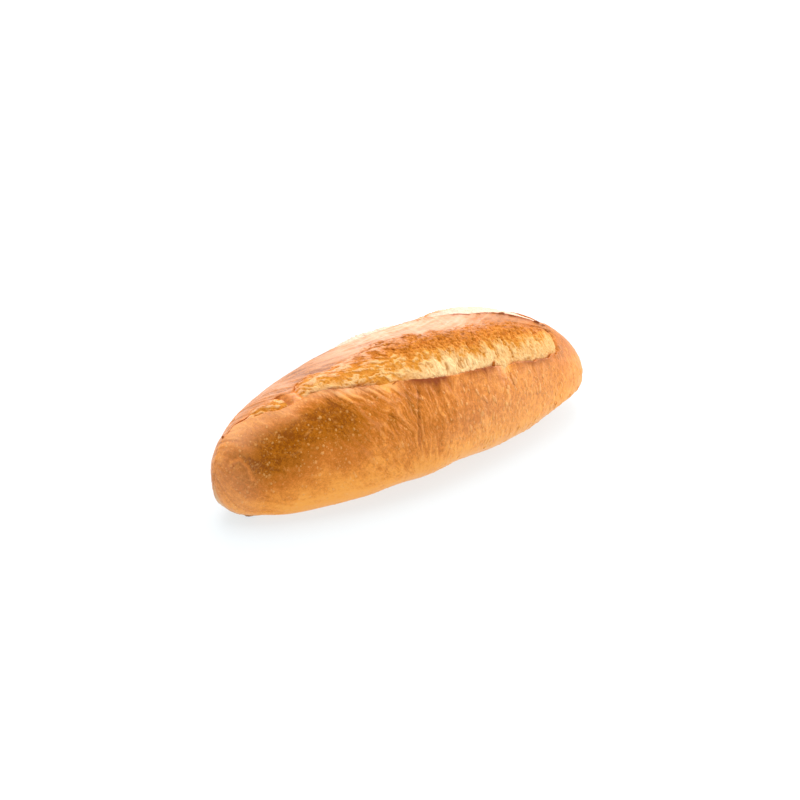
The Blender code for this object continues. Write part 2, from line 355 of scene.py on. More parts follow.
# The crust: the skin of the loaf
skin = {
    "rings": 560,
    "lumps": 0.0003,
    # wrinkles of the near wall: width along x, length down the wall, depth
    "wrinkles": ((0.003, 0.011, 0.00048), (0.0017, 0.006, 0.00028)),
    # stretch lines of the strip: length along x, width, depth
    "stretchLines": ((0.022, 0.003, 0.00032), (0.01, 0.0016, 0.0002), (0.006, 0.001, 0.00012)),
    "pits": 0.00007,
    "firmHeights": (0.0006, 0.0045),  # the relief sets in between these heights above the sole
    "lipRise": 0.0012,
    "lipFade": 0.0055,
    "lipOverhang": 0.0006,
    # numbers of columns on the wall, in both trenches, on the strip and beyond the far cut
    "columns": (70, (8, 7), 32, 36),
    "farGather": 1.1,
    "lipStep": 0.00018,  # between the columns at a lip
    "beforeLip": 0.0006,
    # columns at a lip and at the torn edge behind the trench: steps from it, drop, shift
    "lipColumns": ((-1, 0, 0), (0, 0.0008, 0.0001), (1, 0.002, -0.0012)),
    "edgeColumns": ((-1, 0.0022, 0.001), (0, 0.0007, 0), (1, 0.0003, 0)),
    "trench": 0.0042,
    # along x, as (middle, amount, reach): tongues of crust that still join the crumb over the near lip,
    # how dark the lip's edge burnt in its blunt and slim halves, and the scorched places beside it
    "tongues": ((-0.035, 1, 0.0055), (0.0375, 1, 0.005)),
    "burntBlunt": ((-0.014, 1, 0.01), (0.0145, 0.6, 0.005), (0.025, 0.5, 0.0045), (0.058, 0.42, 0.018)),
    "burntSlim": ((-0.062, 0.65, 0.005), (-0.046, 0.6, 0.004), (-0.08, 0.35, 0.008)),
    "scorched": ((-0.013, 1, 0.012), (0.0245, 0.55, 0.006), (0.06, 0.22, 0.018)),
    # grooves in the near wall: points (x, z), half width, depth
    "folds": (
        (((-0.021, 0.056), (-0.0238, 0.0509), (-0.0264, 0.0433), (-0.0284, 0.0316)), 0.0007, 0.00085),
        (((-0.028, 0.0562), (-0.0284, 0.0527), (-0.0288, 0.0489)), 0.0013, 0.00055),
        (((-0.0486, 0.0534), (-0.0478, 0.0508), (-0.047, 0.0475)), 0.0005, 0.0002),
        (((-0.0396, 0.0497), (-0.037, 0.0464), (-0.0336, 0.0412)), 0.0005, 0.0003),
        (((-0.042, 0.0478), (-0.0398, 0.0427), (-0.0388, 0.0373)), 0.0005, 0.00024),
        (((-0.0342, 0.0589), (-0.0378, 0.0546), (-0.0406, 0.0512)), 0.0006, 0.00022),
        # a raised strand that runs down from the first tongue
        (((-0.0365, 0.059), (-0.0395, 0.055), (-0.044, 0.0484), (-0.0476, 0.0368)), 0.0013, -0.0004),
    ),
    # the dark belly, and the lighter strand above it that is partly paler crust and partly a painted
    # highlight: points (x, z), reach
    "belly": (((-0.067, 0.0545), (-0.076, 0.054), (-0.087, 0.05), (-0.095, 0.044), (-0.102, 0.037)),
              0.0128),
    "tipLight": (((-0.086, 0.059), (-0.094, 0.057), (-0.1014, 0.053), (-0.109, 0.048)), 0.0046),
    # a raised hook at the slim tip: points, half width, height
    "tipHook": (((-0.1148, -0.0005, 0.0335), (-0.1144, -0.0014, 0.0365), (-0.1114, -0.0044, 0.038),
                 (-0.1094, -0.0078, 0.0345), (-0.1084, -0.0098, 0.028)), 0.0008, 0.00045),
}


# Distance of every point to a line of straight pieces, in space or seen from the side
def lineDistance(points, line):
    points = points[..., [0, 2]] if len(line[0]) == 2 else points
    nearest = np.full(points.shape[:-1], 1.0)
    for start, end in zip(np.array(line)[:-1], np.array(line)[1:]):
        way = end - start
        t = np.clip(((points - start) @ way) / (way @ way), 0, 1)[..., None]
        nearest = np.minimum(nearest, np.linalg.norm(points - start - t * way, axis=-1))
    return nearest


# The broad lumps that crust and crumb share
def lumpsAt(points):
    return skin["lumps"] * cloud(points, 0.02, 41, 2)


# Wandering ridges: (1 - |noise|)^sharp
def ridged(a, b, seed, sharp):
    return (1 - np.abs(noiseFlat(a, b, seed))) ** sharp


# Layers of ridges, each (size along a, size along b, depth): their height, and how strongly they show, which
# is painted as shade in their troughs and as highlight on their ridges
def ridgeLayers(layers, a, b, seed, sharp, middle):
    height, shade = 0, 0
    for n, (sizeA, sizeB, depth) in enumerate(layers):
        line = ridged(a / sizeA, b / sizeB, seed + n, sharp) - middle
        height, shade = height + depth * line, shade + line / (n + 1)
    return height, shade


# Where crust tongues still join the crumb over the lip, along x
def tongues(x):
    return np.clip(hills(skin["tongues"], x), 0, 1)


# How dark the lip's edge burnt, along x
def lipBurn(x):
    burnt = hills(skin["burntBlunt"], x) + hills(skin["burntSlim"], x)
    return np.clip(burnt + 0.25 * noiseFlat(x / 0.003, 0.5, 31), 0, 1) * (1 - 0.85 * tongues(x))


# Columns of the skin, from the sole's near edge over both cuts to its far edge. Each has its place along
# the section, how far it drops and shifts where the cut is open, and its part: 0 skin, 1 near lip,
# 2 near trench, 3 strip's edge, 4 far lip, 5 far trench, 6 far edge
def skinColumns(lines):
    near, nearEdge, far, farEdge, end = (lines[k] for k in ("near", "nearEdge", "far", "farEdge", "end"))
    small = np.minimum(skin["lipStep"], 0.02 * (nearEdge - near))
    before = skin["beforeLip"]
    onWall, inTrench, onStrip, onFar = skin["columns"]
    columns = [(spread(0, near - before, onWall), 0, 0, 0)]
    for lip, edge, steps, part in ((near, nearEdge, inTrench[0], 1), (far, farEdge, inTrench[1], 4)):
        columns.append((lip - before, 0, 0, part))
        columns += [(lip + n * small, drop, push, part) for n, drop, push in skin["lipColumns"]]
        columns.append((spread(lip + 2 * small, edge - 2 * small, steps), skin["trench"], 0, part + 1))
        columns += [(edge + n * small, drop, push, part + 2) for n, drop, push in skin["edgeColumns"]]
        if part == 1:
            columns.append((spread(edge + 2 * small, far - before, onStrip), 0, 0, 0))
    columns += [(spread(farEdge + 2 * small, end, onFar, skin["farGather"]), 0, 0, 0), (end, 0, 0, 0)]
    wide = [c[0].shape[1] for c in columns]
    places = np.concatenate([np.broadcast_to(c[0], (len(near), n)) for c, n in zip(columns, wide)], axis=1)
    drop, push, part = (np.repeat([c[k] for c in columns], wide)[None, :] for k in (1, 2, 3))
    return places, drop, push, part


# The skin's grid on the smooth form, with what its shape and its colour are measured by
def layOutSkin():
    rows = sections(ringPlaces(skin["rings"]))
    lines = markLines(rows)
    places, drop, push, part = skinColumns(lines)
    base, wide, out = onLoaf(rows, places, lines)
    s = SimpleNamespace(
        lines=lines, places=places, drop=drop, push=push, part=part, base=base, wide=wide, out=out
    )
    s.x, s.z = base[..., 0], base[..., 2]
    s.beyondNear, s.beyondFar = places - lines["near"], places - lines["far"]
    s.down, s.below = -s.beyondNear, np.maximum(-s.beyondNear, 0)
    s.nearOpen, s.farOpen = openAt(nearCut, s.x, s.beyondNear), openAt(farCut, s.x, s.beyondFar)
    s.share = np.where(part < 4, s.nearOpen, s.farOpen)
    s.nearSide = (part < 2) & (places < lines["nearEdge"])
    s.farSide = (part == 0) | (part == 4)
    s.wall = smoothStep(0.0, 0.004, s.down)  # 1 on the near wall
    # 1 on the strip between the cuts, and where skin bridges the closed part of the near cut
    strip = smoothStep(-0.002, 0.003, places - lines["nearEdge"]) * smoothStep(0.0005, -0.001, s.beyondFar)
    s.bridge = (part == 2) * (1 - s.nearOpen) * smoothStep(0.085, 0.075, s.x)
    s.strip = np.maximum(strip * smoothStep(0.094, 0.082, s.x), s.bridge)
    s.slimEnd = smoothStep(-0.07, -0.095, s.x)
    s.farLine = hill(s.x - 0.074, 0.015)  # here the far lip stands up as a dark line
    return s


# Lips: rise * exp(distance / fade) on the whole side, then the fold under it and the trench behind
def addLips(s):
    fade = skin["lipFade"]
    nearRise = s.nearOpen * (1 - 0.6 * tongues(s.x)) * np.exp(np.minimum(s.beyondNear, 0) / fade)
    farRise = (0.8 + 0.45 * s.farLine) * s.farOpen * np.exp(np.minimum(s.beyondFar, 0) / fade)
    farRise = farRise * (s.places > s.lines["nearEdge"])
    lip = skin["lipRise"] * (nearRise * s.nearSide + farRise * s.farSide * (s.beyondFar < 0.001))
    held = np.where(s.part < 3, tongues(s.x), 0)
    s.lift = lip - s.share * s.drop * (1 - 0.45 * held)
    s.sideways = s.share * s.push + skin["lipOverhang"] * (lip / skin["lipRise"]) ** 3


# Wrinkles run down the wall; left of the first tongue they lean towards the blunt end
def addWrinkles(s):
    x, places, below = s.x, s.places, s.below
    s.fan = hill(x + 0.034, 0.036) * np.exp(-below / 0.032) * smoothStep(0.004, 0.018, places)
    lean = 0.6 * smoothStep(-0.014, -0.036, x) * (1 - 0.6 * smoothStep(-0.07, -0.095, x))
    slant = lean * (below + 0.0075 * (1 - np.exp(-below / 0.004)))  # beside the lip they turn along it
    waver = 0.0017 * noiseFlat(x / 0.007, places / 0.007, 51)
    waver = waver + 0.0006 * noiseFlat(x / 0.003, places / 0.003, 59)
    s.across = x - slant + waver * s.wall
    s.patchy = smoothStep(-0.5, 0.5, noiseFlat(x / 0.007, places / 0.008, 58))
    smoothBelly = 1 - 0.75 * smoothStep(-0.046, -0.062, x) * smoothStep(0.004, 0.01, s.down)
    s.roll = hill(x + 0.06, 0.026) * smoothStep(0.0, 0.001, s.down)  # the rolled lip of the slim half
    s.wrinkled = s.wall * (0.34 + 0.9 * s.fan) * (0.25 + 0.75 * s.patchy) * smoothBelly
    s.wrinkled = s.wrinkled + 0.25 * smoothStep(0.025, 0.035, s.beyondFar)
    s.wrinkled = s.wrinkled + 0.75 * s.roll * hill(below - 0.0025, 0.0055)
    height, s.crinkled = ridgeLayers(skin["wrinkles"], s.across, places, 52, 3, 0.4)
    s.wrinkles = s.wrinkled * height
    s.strands = smoothStep(-0.1, 0.6, s.crinkled)


# Stretch lines run along the strip, round the slim end and low on the wall beside it
def addStretchLines(s):
    x = s.x
    along = s.places + 0.0016 * noiseFlat(x / 0.01, s.places / 0.012, 54)
    mask = s.strip * (0.55 + 0.45 * s.patchy) * (1 - 0.65 * smoothStep(0.015, 0.045, x))
    mask = mask + 0.55 * s.slimEnd * (1 - s.strip)
    low = 0.6 * smoothStep(0.032, 0.016, s.z) * smoothStep(-0.02, -0.06, x)
    mask = mask + low * (1 - s.slimEnd) * s.wall
    height, s.stretched = ridgeLayers(skin["stretchLines"], x, along, 64, 2, 0.45)
    s.stretchMask, s.stretch = mask, mask * height


# Grooves and strands of the wall: depth * hill(distance to the line, half width); the grooves also get
# painted shade and the raised strand a painted highlight
def addFolds(s):
    s.folds, s.foldDark = 0, 0
    for line, half, depth in skin["folds"]:
        groove = hill(lineDistance(s.base, line), half) * s.wall
        s.folds, s.foldDark = s.folds - depth * groove, s.foldDark + groove * min(depth / 0.0006, 1)
    line, half, high = skin["tipHook"]
    hookOff = lineDistance(s.base, line)
    s.hook = hill(hookOff, half)
    s.folds = s.folds + high * s.hook - 0.5 * high * hill(hookOff - 0.0018, 0.0008)


# How burnt the skin is: the near lip's edge, the scorched places beside it and the far lip
def skinBurn(s):
    x, edge = s.x, lipBurn(s.x)
    # the dark line on the crumb is partly burn and partly painted shade under the lip; the pale rim beside it
    # is a painted highlight
    redLine = hill(x + 0.053, 0.016)  # here the dark line lies on the crumb beside a pale rim
    burn = edge * (1 - 0.6 * redLine) * s.nearOpen * hill(s.below, 0.0012 + 0.001 * edge) * s.nearSide
    uneven = 0.85 + 0.6 * noiseFlat(s.across / 0.0016, s.places / 0.006, 34)
    scorch = hills(skin["scorched"], x) * hill(s.below, 0.006) * uneven * s.nearSide
    farTorn = np.clip(0.55 + 0.9 * noiseFlat(x / 0.0035, 0.5, 33), 0, 1) * smoothStep(0.02, 0.045, x)
    farBurn = np.maximum(farTorn, s.farLine) * s.farOpen * hill(s.beyondFar, 0.0009 + 0.001 * s.farLine)
    return burn + 0.72 * scorch + farBurn * s.farSide


# How dark the skin is: a dark belly at the slim end, a golden band near the sole that is partly paler crust
# and partly painted light from the glowing floor, paler to the blunt end, and painted shade and highlight
# along the wrinkles, stretch lines, folds and the rolled lip
def skinBakeAndShading(s):
    x, z, wall, strip = s.x, s.z, s.wall, s.strip
    ragged = 0.005 * noiseSolid(s.base, 0.01, 61)
    baseBand = smoothStep(0.036, 0.001, z + ragged + 0.0025 * noiseSolid(s.base, 0.004, 63))
    fadeOut = 1 - 0.35 * smoothStep(0.0, 0.05, x) - 0.45 * smoothStep(-0.085, -0.105, x)
    farWall = smoothStep(0.0, 0.01, s.places - s.lines["farEdge"])
    # painted shade in the troughs of the wrinkles and stretch lines, and a painted highlight on their ridges
    wrinkleShade = 0.42 * s.wrinkled * s.crinkled
    stretchShade = (0.16 + 0.12 * smoothStep(-0.02, -0.05, x)) * s.stretchMask * s.stretched
    return (
        # the belly darker; the strand at the tip paler, partly paler crust and partly a painted highlight
        0.5 + 0.44 * s.belly + 0.04 * s.fan + 0.16 * farWall - 0.24 * s.tipLight
        - 0.15 * hill(x + 0.036, 0.03) * hill(z - 0.022, 0.016) * wall
        + 0.09 * hill(x - 0.004, 0.016) * hill(z - 0.038, 0.012) * wall
        + 0.09 * hill(x + 0.097, 0.017) * hill(z - 0.026, 0.012)
        # the golden band near the sole: partly paler crust and partly painted light from the glowing floor
        - 0.62 * baseBand * (0.4 + 0.6 * wall) * fadeOut
        - 0.2 * smoothStep(-0.05, 0.05, x) * wall - 0.1 * smoothStep(-0.102, -0.118, x)
        + strip * (0.08 * smoothStep(-0.08, 0.0, x) + 0.14 * smoothStep(0.03, 0.06, x))
        + 0.2 * s.shore * (1 - s.blunt)
        + 0.22 * smoothStep(0.074, 0.084, x) * smoothStep(0.034, 0.044, z) * (1 - farWall)
        + 0.07 * cloud(s.base, 0.016, 62, 3)
        - wrinkleShade - stretchShade
        # the folds: painted shade in the grooves, a painted highlight on the raised strand
        + 0.22 * np.clip(s.foldDark, -1, 1) - 0.36 * s.hook - 0.34 * s.bridge
        + strip * 0.3 * hill(x + 0.052, 0.02)
        # the rolled lip of the slim half paler: a painted highlight
        - s.roll * (0.38 * s.strands * hill(s.below - 0.0025, 0.005) + 0.36 * hill(s.below, 0.003))
        - 0.62 * tongues(x) ** 2 * s.nearOpen * hill(s.beyondNear, 0.004)
    )


# A painted highlight: a whitish tint on the stretched skin of the strip, on the rim of the lip at the slim
# end and on strands
def skinPaintedHighlight(s, burn):
    x, wall = s.x, s.wall
    haze = 0.76 - 0.28 * smoothStep(-0.04, -0.075, x) - 0.42 * smoothStep(0.025, 0.055, x)
    haze = haze - 0.26 * hill(x + 0.054, 0.018) - 0.4 * s.bridge
    paintedHighlight = haze * s.strip * (0.35 + 0.65 * smoothStep(-0.45, 0.55, s.stretched)) * (1 - 0.8 * s.shore)
    rim = hill(s.down - 0.0012, 0.0022) * s.nearSide * hill(x + 0.058, 0.024)
    paintedHighlight = paintedHighlight + 0.8 * rim * (1 - burn) * (0.5 + 0.5 * s.strands)
    underRim = 0.08 * hill(s.down - 0.004, 0.006) * smoothStep(-0.056, -0.08, x) * s.strands
    paintedHighlight = paintedHighlight + underRim * (s.nearSide & (s.part == 0))
    paintedHighlight = paintedHighlight + 0.1 * smoothStep(-0.1, -0.114, x) * wall
    paintedHighlight = paintedHighlight + 0.42 * s.tipLight + 0.3 * s.fan * s.strands * wall * (1 - s.belly)
    high = smoothStep(-0.01, 0.01, x) * smoothStep(0.014, 0.03, s.z) * wall
    return paintedHighlight + 0.1 * high * (0.5 + 0.5 * s.strands)


# What the material reads at every point of the skin
def paintSkin(s):
    x, strip = s.x, s.strip
    line, reach = skin["belly"]
    s.belly = hill(lineDistance(s.base, line), reach) * smoothStep(0.003, 0.01, s.down)
    line, reach = skin["tipLight"]
    s.tipLight = hill(lineDistance(s.base, line), reach) * (1 - strip)
    s.blunt = smoothStep(0.066, 0.08, x)
    # the strip is browner beside the crumb
    s.shore = np.exp(-np.maximum(s.places - s.lines["nearEdge"], 0) / 0.0035) * strip
    burn = skinBurn(s)
    burnt = np.clip(burn, 0, 1)
    glossy = 0.14 + 0.55 * smoothStep(-0.06, 0.03, x) + 0.6 * smoothStep(-0.1, -0.114, x)
    sheen = np.clip(strip + (1 - strip) * glossy * (1 - 0.9 * s.belly), 0, 1) * (1 - burnt)
    return {
        "bakeAndShading": skinBakeAndShading(s),
        "burn": burnt,
        "torn": np.isin(s.part, (2, 5)) * smoothStep(0.35, 0.8, s.share),
        "pale": 0.5 * (s.part == 2) * np.ones_like(x),
        # darker in the grooves of the wrinkles, stretch lines and folds: painted shade
        "hollowShade": np.clip(-(s.wrinkles + s.stretch + s.folds) / 0.0005, 0, 1),
        "strip": strip,
        # where the painted highlight is mixed into the skin's colour
        "paintedHighlightAndCream": np.clip(skinPaintedHighlight(s, burn), 0, 1),
        "calm": s.wall * smoothStep(-0.046, -0.066, x),
        "sheen": sheen * (1 - 0.6 * s.blunt - 0.5 * strip * hill(x + 0.052, 0.022)),
        "sole": np.zeros_like(x),
        "skinPlace": np.stack([s.across, s.places - s.lines["crest"], 0 * x], -1),
    }


# The skin as rings of points with their masks, and the grid that the blisters sit on
def makeSkinSurface():
    s = layOutSkin()
    for shape in (addLips, addWrinkles, addStretchLines, addFolds):
        shape(s)
    pits = -skin["pits"] * (noiseSolid(s.base, 0.0016, 56) + 0.6 * noiseSolid(s.base, 0.0009, 60))
    # the sole stays flat, and the folds of the lips stay whole
    firm = smoothStep(*skin["firmHeights"], s.z)
    calm = firm * (1 - 0.6 * s.share * (s.part > 0))
    lift = s.lift + firm * lumpsAt(s.base) + calm * (s.wrinkles + s.stretch + pits + s.folds)
    surface = s.base + s.out * lift[..., None] + s.wide * s.sideways[..., None]
    surface[..., 2] = np.maximum(surface[..., 2], 0)
    masks = paintSkin(s)

    # the sole: straight across from the far edge back to the near one
    back = np.linspace(0, 1, 10)[None, 1:-1]
    sole = surface[:, -1:] * (1 - back[..., None]) + surface[:, :1] * back[..., None]
    sole[..., 2] = surface[:, -1:, 2]
    for key, values in masks.items():
        t = back[..., None] if values.ndim == 3 else back
        masks[key] = np.concatenate([values, values[:, -1:] * (1 - t) + values[:, :1] * t], axis=1)
    masks["sole"][:, -sole.shape[1]:] = 1.0
    rings = np.concatenate([surface, sole], axis=1)
    return rings, masks, {"surface": surface, "out": s.out, "wide": s.wide, "wall": s.wall, "masks": masks}


print("shaping the loaf")
skinRings, skinMasks, skinGrid = makeSkinSurface()

# The tips of the smooth form close the first and the last ring
loafTips = [
    (side * form["length"] / 2, form["tipSways"][n], form["tipHeights"][n] - form["soleTrim"])
    for n, side in enumerate((-1, 1))
]


# The crumb: the torn bands in the cuts
nearCrumb = {
    "name": "nearCrumb",
    "cut": nearCut,
    "marks": ("near", "nearEdge"),
    "span": (-0.1065, 0.096),
    "rings": 900,
    "across": 98,
    "crown": 0.0013,
    "sink": ((-0.1, 0), (0.1, 0)),
    # how much of the pale far cream the band shows; the same mask mixes a painted highlight into its skin
    # colour
    "paintedHighlightAndCream": 0.0,
    # distance from the lip to the end of the pale part and to the brown part, along x
    "paleTo": ((-0.106, 0.002), (-0.09, 0.003), (-0.076, 0.003), (-0.066, 0.006), (-0.05, 0.006),
               (-0.022, 0.008), (-0.008, 0.0094), (0.003, 0.0112), (0.009, 0.0098), (0.023, 0.0094),
               (0.041, 0.011), (0.061, 0.012), (0.081, 0.0108)),
    "brownFrom": ((-0.106, 0.004), (-0.09, 0.009), (-0.0686, 0.0125), (-0.0554, 0.0165), (-0.041, 0.0172),
                  (-0.027, 0.017), (-0.016, 0.0168), (-0.0016, 0.0172), (0.0108, 0.0156), (0.0264, 0.014),
                  (0.043, 0.0145), (0.0618, 0.015), (0.0824, 0.0132)),
    "paleness": ((-0.1, 0.26), (-0.08, 0.22), (-0.07, 0.75), (-0.062, 0.6), (-0.05, 0.12), (-0.03, 0.12),
                 (-0.018, 0.62), (-0.008, 1.0), (0.02, 1.0), (0.036, 0.66), (0.08, 0.52)),
    "seed": 71,
}

farCrumb = {
    "name": "farCrumb",
    "cut": farCut,
    "marks": ("far", "farEdge"),
    "span": (-0.0585, 0.0955),
    "rings": 520,
    "across": 60,
    "crown": 0.0004,
    "sink": ((-0.05, 0.0002), (-0.01, 0.0003), (0.005, 0.001), (0.02, 0.0018), (0.03, 0.0016),
             (0.042, 0.0005), (0.09, 0.0005)),
    # how much of the pale far cream the band shows; the same mask mixes a painted highlight into its skin
    # colour
    "paintedHighlightAndCream": 0.8,
    "paleTo": ((-0.05, 0.004), (-0.02, 0.015), (0.03, 0.019), (0.06, 0.019), (0.09, 0.017)),
    "brownFrom": ((-0.05, 0.008), (-0.02, 0.021), (0.03, 0.026), (0.06, 0.027), (0.09, 0.025)),
    "paleness": ((-0.05, 0.7), (0.0, 0.9), (0.09, 0.7)),
    "seed": 91,
}

crumbRelief = {
    "tuck": 0.0016,  # how far a band reaches under its lip
    "over": 0.005,  # how far its torn edge creeps over the skin beyond
    "thick": 0.003,
    "underside": 12,  # one column in so many comes back in the underside
    "closed": (0.0026, 0.0012),  # how deep a band lies where the cut is closed, and less at the blunt end
    "ridges": 0.00022,
    "fibres": 0.00021,
    "grains": 0.00012,
    "flakes": 0.00033,
    "cracks": 0.00042,
    "sunk": 0.0009,  # how far the crumb lies below the crust
    "dip": 0.001,  # behind the lip
}


# A band of crumb from under the lip to a torn edge that creeps over the skin beyond, closed by an underside
def makeCrumb(band):
    seed, isNear = band["seed"], band is nearCrumb
    rows = sections(np.linspace(*band["span"], band["rings"]))
    lines = markLines(rows)
    low, high = (lines[k] for k in band["marks"])
    tuck = np.minimum(crumbRelief["tuck"], 0.1 * (high - low))
    over = np.minimum(crumbRelief["over"], 0.25 * (high - low))
    places = low - tuck + (high - low + tuck + over) * np.linspace(0, 1, band["across"])[None, :]
    base, wide, out = onLoaf(rows, places, lines)
    x = base[..., 0]
    past = places - low  # distance past the lip
    opened = openAt(band["cut"], x, past)
    within = np.clip(past / (high - low), 0, 1)
    beyond = (past - (high - low)) / over

    # flat noise with a size along x and one across the band
    def noise(sizeX, sizeD, number, along=x, across=past):
        return noiseFlat(along / sizeX, across / sizeD, seed + number)

    # the pale part beside the lip, the brown one beyond and the golden one between reach into each other
    fingers = 0.0017 * noiseFlat(x / 0.0046, 0.5, seed) + 0.0012 * noise(0.0017, 0.009, 1)
    fingers = fingers + 0.001 * noise(0.003, 0.003, 2)
    leftHalf = isNear * smoothStep(0.005, -0.025, x)
    rightEnd = smoothStep(0.03, 0.055, x)
    pale = smoothStep(0.0034, -0.0046, past - softCurve(band["paleTo"], x) - 1.6 * fingers)
    brown = smoothStep(-0.003, 0.005, past - softCurve(band["brownFrom"], x) - 1.3 * fingers)
    brown = brown * (1 - 0.5 * leftHalf * smoothStep(-0.032, -0.05, x))
    cream = pale * softCurve(band["paleness"], x)
    golden = (1 - brown) * (1 - cream)

    # fibres stretch across the opening: noise that is short along x and long across; in the left half,
    # the other way
    sway = x - 0.3 * past + 0.002 * noise(0.006, 0.005, 3) + 0.0006 * noise(0.002, 0.002, 12)
    drift = past + 0.0018 * noise(0.006, 0.006, 15)
    upright = noise(0.0016, 0.005, 13, sway) + 0.6 * noise(0.0008, 0.0026, 14, sway)
    lying = noise(0.0046, 0.0016, 9, x, drift) + 0.8 * noise(0.002, 0.0009, 10, x, drift)
    clumps = 0.7 * noiseSolid(base, 0.0016, seed + 17) + 0.8 * noiseSolid(base, 0.0009, seed + 18)
    torn = (0.75 - 0.25 * brown) * upright * (1 - 0.3 * rightEnd) + (0.7 + 0.1 * brown) * clumps
    level = (0.9 * lying + 0.6 * clumps) * leftHalf + torn * (1 - leftHalf)
    # thin cracks that run up from the lip, here and there
    beside = x - 0.2 * past + 0.0005 * noise(0.004, 0.003, 21)
    here = smoothStep(0.0, 0.5, noise(0.005, 0.007, 20))
    cracks = smoothStep(0.88, 0.98, ridged(beside / 0.003, 0.5, seed + 19, 1)) * here * cream
    ridges = 2 * ridged(sway / 0.0013, past / 0.0065, seed + 4, 1.5) - 1
    fibres = 2 * ridged(sway / 0.0008, past / 0.004, seed + 5, 1.2) - 1 + 0.5 * noise(0.0006, 0.0022, 6, sway)
    grains = 1 - 2 * np.abs(noiseSolid(base, 0.0013, seed + 7)) + 0.8 * noiseSolid(base, 0.0007, seed + 8)
    # flakes: the level cut into steps with soft sides
    steps = smoothStep(-0.45, -0.05, level) + smoothStep(0.1, 0.4, level) + smoothStep(0.5, 0.8, level)
    # the torn edge turns into the skin of the strip, over a longer way in the left half
    merge = smoothStep(-1.2, 0.3, (beyond + 0.6 * lying) / (1.7 + 0.9 * leftHalf))
    relief = (
        crumbRelief["ridges"] * ridges * (0.15 + 0.85 * cream) * (1 - 0.7 * leftHalf - 0.4 * rightEnd)
        + crumbRelief["fibres"] * fibres * (0.3 + 0.7 * cream) * (1 - 0.7 * leftHalf - 0.3 * rightEnd)
        + crumbRelief["grains"] * grains * (1 - 0.3 * cream)
        + crumbRelief["flakes"] * (steps - 1.0) * (0.2 + 0.6 * brown + 0.4 * golden) * (1 - 0.5 * merge)
        - crumbRelief["cracks"] * cracks
    )
    held = isNear * tongues(x) * hill(past, 0.005)
    crown = -crumbRelief["sunk"] + band["crown"] * np.sin(0.75 * np.pi * within) ** 0.7
    crown = crown - crumbRelief["dip"] * smoothStep(0.0015, -0.0012, past) * (1 - held) + 0.0009 * held
    crown = crown - 0.0001 * smoothStep(-1.0, 0.0, beyond) - 0.0013 * smoothStep(-0.1, 1.0, beyond)
    crown = crown - softCurve(band["sink"], x)
    closed = crumbRelief["closed"][0] - crumbRelief["closed"][1] * smoothStep(0.07, 0.078, x)
    lift = -closed * (1 - opened) + opened * crown + relief * (0.3 + 0.7 * opened) + lumpsAt(base)
    surface = base + out * lift[..., None]
    back = slice(None, None, -crumbRelief["underside"])
    under = base[:, back] + out[:, back] * (lift[:, back] - crumbRelief["thick"])[..., None]

    stepped = (steps - 1.4) * (brown + 0.6 * golden)
    bakeAndShading = 0.2 + 0.14 * hill(x + 0.09, 0.01) + 0.46 * brown + 0.1 * leftHalf * golden - 0.08 * stepped
    uneven = 0.8 + 0.6 * noiseFlat(x / 0.003, 0.5, seed + 22)
    # a dark line on the crumb beside the lip in the slim half, and another right at the lip: partly burn and
    # partly painted shade under the lip
    redLine = hill(x + 0.055, 0.017) * hill(past - 0.0022, 0.0013) * uneven
    burn = 0.12 * brown * smoothStep(0.3, -0.5, level) + 0.25 * hill(past - 0.0002, 0.0006) * (1 - held)
    tips = (0.34 + 0.14 * leftHalf) * golden * smoothStep(0.6, 2.6, steps)
    # paler where the torn edge merges into the strip: on the skin's colour a painted highlight, on the
    # crumb's the pale far cream
    paleMerge = 0.5 * merge * (0.5 + 0.5 * leftHalf - 0.4 * rightEnd) * smoothStep(-0.3, 0.6, lying)
    masks = {
        "bakeAndShading": bakeAndShading + 0.08 * cloud(base, 0.005, seed + 11, 2) + 0.06 * merge,
        "burn": burn + 0.75 * redLine * isNear,
        "torn": 1 - 0.8 * merge - 0.35 * brown * smoothStep(0.2, 1.6, steps) * (1 - merge),
        # darker in the cracks, and the next mask darker in low relief and in the cracks: painted shade
        "pale": cream * (0.86 + 0.14 * ridges) - 0.28 * cracks + tips,
        "hollowShade": np.clip(smoothStep(0.1, -1.1, relief / 0.00035) + 0.25 * cracks, 0, 1),
        "strip": np.clip(leftHalf * 0.8 + merge, 0, 1),
        "paintedHighlightAndCream": band["paintedHighlightAndCream"] * (0.2 + 0.8 * smoothStep(0.026, 0.016, past)) + paleMerge,
        "calm": np.zeros_like(x),
        "sheen": 0.15 * brown + 0.6 * merge,
        "sole": np.zeros_like(x),
        "skinPlace": np.stack([x, places - lines["crest"], 0 * x], -1),
    }
    grid = {"surface": surface, "out": out, "wide": wide, "past": past, "masks": masks}
    rings = np.concatenate([surface, under], axis=1)
    masks = {key: np.concatenate([values, values[:, back]], axis=1) for key, values in masks.items()}
    return ringMesh(band["name"], rings, [rings[0].mean(0), rings[-1].mean(0)], masks), grid


# Blisters on the crust
blisterLook = {
    "tried": 26000,
    "radius": (0.0002, 0.00096),
    "high": 0.3,  # height as a share of the radius
    "rings": (0.55, 1.0),  # shares of the radius
    "corners": 6,
    "sunk": 0.00012,
    "beneath": 0.0005,
    "seed": 101,
}


# A value for each of many small pieces, given to all their corners
def forCorners(values, corners):
    return np.repeat(values[:, None], corners, axis=1)


# The masks at grid places i, j, for small pieces of so many corners
def masksAt(grid, i, j, corners):
    return {key: forCorners(values[i, j], corners) for key, values in grid["masks"].items()}


